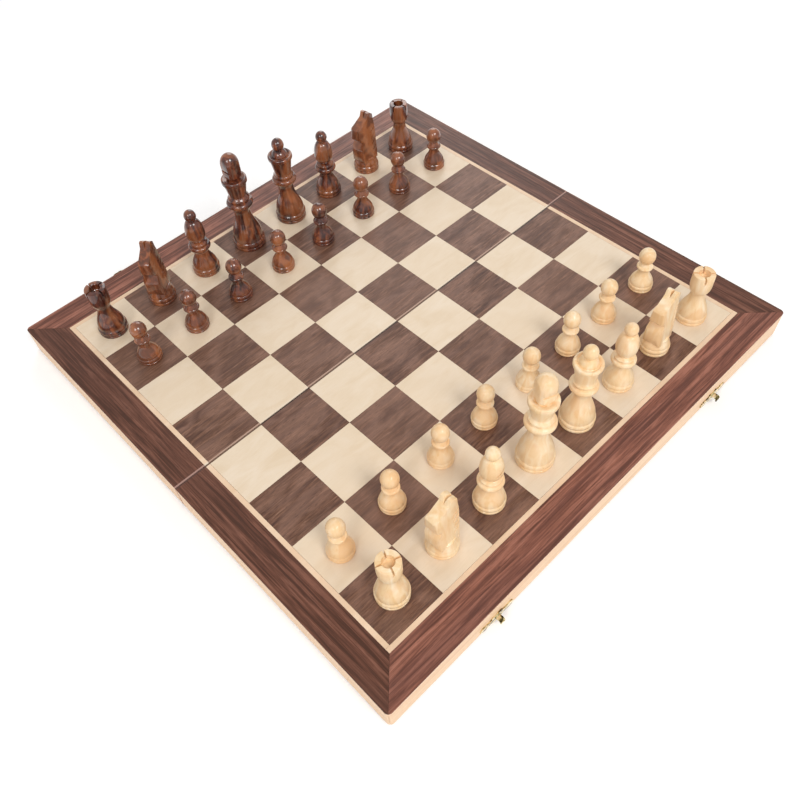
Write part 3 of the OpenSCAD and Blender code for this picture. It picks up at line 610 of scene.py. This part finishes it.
def set_out_men():
    """Makes each kind of man once and stands a copy in the place of every man of the frame."""
    masters = {}
    for node in sorted(frame["nodes"]):
        kind = next((k for k in MAKERS if "_" + k + "_" in node), None)
        if kind is None:
            continue
        low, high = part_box(node)
        if kind not in masters:
            masters[kind] = MAKERS[kind]((high.x - low.x) / 2 / MM, (high.z - low.z) / MM)
            alone(masters[kind])
            bpy.ops.object.shade_smooth_by_angle(angle=math.radians(SHADED_SMOOTH))
        middle = Vector(((low.x + high.x) / 2, (low.y + high.y) / 2, low.z))
        turn = Matrix.Rotation(math.radians(TURNS.get(node, 0)), 4, "Z")
        mesh = masters[kind].data.copy()
        mesh.transform(Matrix.Translation(middle) @ turn)
        man = bpy.data.objects.new(node + "_turned", mesh)
        bpy.context.scene.collection.objects.link(man)
        mesh.materials.clear()
        mesh.materials.append(LOOKS[slot_of[node]])
        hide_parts(node)
        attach(man, body_of[node])
    for master in masters.values():
        bpy.data.objects.remove(master, do_unlink=True)


set_out_men()


# ---------------------------------------------------------------- stage

TABLE_SIZE = 12.0  # metres
TABLE_GLOW = 0.16  # added to the table where it is seen, so that it is white
WORLD_LIGHT, WORLD_SEEN = 0.47, 0.66  # strength of the world as light, and where it is seen
LAMP_DISTANCE = 2.6
CAMERA_AZIMUTH, CAMERA_ELEVATION, CAMERA_ROLL = -40.4, 53.55, -4.72
CAMERA_DISTANCE = 0.518
CAMERA_AIM = Vector((-0.047, -0.0514, BOARD_TOP))
LENS, SENSOR = 35.6, 36.0  # mm


def seen_rays(tree):
    """1 for what the camera sees directly, in a gloss or through a surface, 0 for lighting."""
    path = add(tree, "LightPath").outputs
    mirrored = add(tree, "Math", {0: path["Is Glossy Ray"], 1: path["Is Transmission Ray"]},
                   operation="MAXIMUM")
    return add(tree, "Math", {0: path["Is Camera Ray"], 1: mirrored}, operation="MAXIMUM")


def add_table():
    """A plain white table top. It shows a little brighter than it is lit."""
    bpy.ops.object.select_all(action="DESELECT")
    bpy.ops.mesh.primitive_plane_add(size=TABLE_SIZE, location=(0.0, 0.0, bounds_at_load[0][2]))
    table = bpy.context.object
    table.name = "floor"
    tree = start("plain_white_table")
    lift = add(tree, "Math", {0: seen_rays(tree), 1: TABLE_GLOW}, operation="MULTIPLY")
    glow = add(tree, "Emission", {"Color": "#FFFFFF", "Strength": lift})
    matt = add(tree, "BsdfDiffuse", {"Color": "#F6F6F6"})
    table.data.materials.append(finish_with(tree, add(tree, "AddShader", {0: matt, 1: glow})))


def towards(azimuth, elevation):
    """Unit vector from the board to a place round it. Azimuth 0 is the light men's side, 90 +X."""
    turn, rise = math.radians(azimuth), math.radians(elevation)
    flat = math.cos(rise)
    return Vector((math.sin(turn) * flat, -math.cos(turn) * flat, math.sin(rise)))


def add_softbox(name, azimuth, elevation, size, power):
    data = bpy.data.lights.new(name, "AREA")
    data.shape, data.size, data.energy = "SQUARE", size, power
    lamp = bpy.data.objects.new(name, data)
    back = towards(azimuth, elevation)
    lamp.location = back * LAMP_DISTANCE
    lamp.rotation_mode = "QUATERNION"
    lamp.rotation_quaternion = (-back).to_track_quat("-Z", "Y")
    bpy.context.scene.collection.objects.link(lamp)


def add_world():
    world = bpy.data.worlds.new("white_studio")
    world.use_nodes = True
    tree = world.node_tree
    background = tree.nodes["Background"]
    background.inputs["Color"].default_value = linear("#FFFFFF")
    strength = add(tree, "MapRange", {0: seen_rays(tree), 3: WORLD_LIGHT, 4: WORLD_SEEN})
    tree.links.new(strength.outputs["Result"], background.inputs["Strength"])
    bpy.context.scene.world = world


def add_camera():
    """A short lens about half a metre away, tilted a little, as the photo's perspective shows."""
    data = bpy.data.cameras.new("camera")
    data.sensor_width = data.sensor_height = SENSOR
    data.lens = LENS
    camera = bpy.data.objects.new("camera", data)
    back = towards(CAMERA_AZIMUTH, CAMERA_ELEVATION)
    camera.location = CAMERA_AIM + back * CAMERA_DISTANCE
    camera.rotation_mode = "QUATERNION"
    level = (-back).to_track_quat("-Z", "Y").to_matrix().to_4x4()
    roll = Matrix.Rotation(math.radians(CAMERA_ROLL), 4, "Z")
    camera.rotation_quaternion = (level @ roll).to_quaternion()
    bpy.context.scene.collection.objects.link(camera)
    bpy.context.scene.camera = camera


add_table()
add_softbox("key_softbox", azimuth=-8, elevation=48, size=0.8, power=27.0)
add_softbox("fill_softbox", azimuth=-66, elevation=40, size=0.8, power=15.3)
add_softbox("back_softbox", azimuth=137, elevation=34, size=1.4, power=15.8)
add_world()
add_camera()
bpy.context.scene.view_settings.view_transform = "Standard"
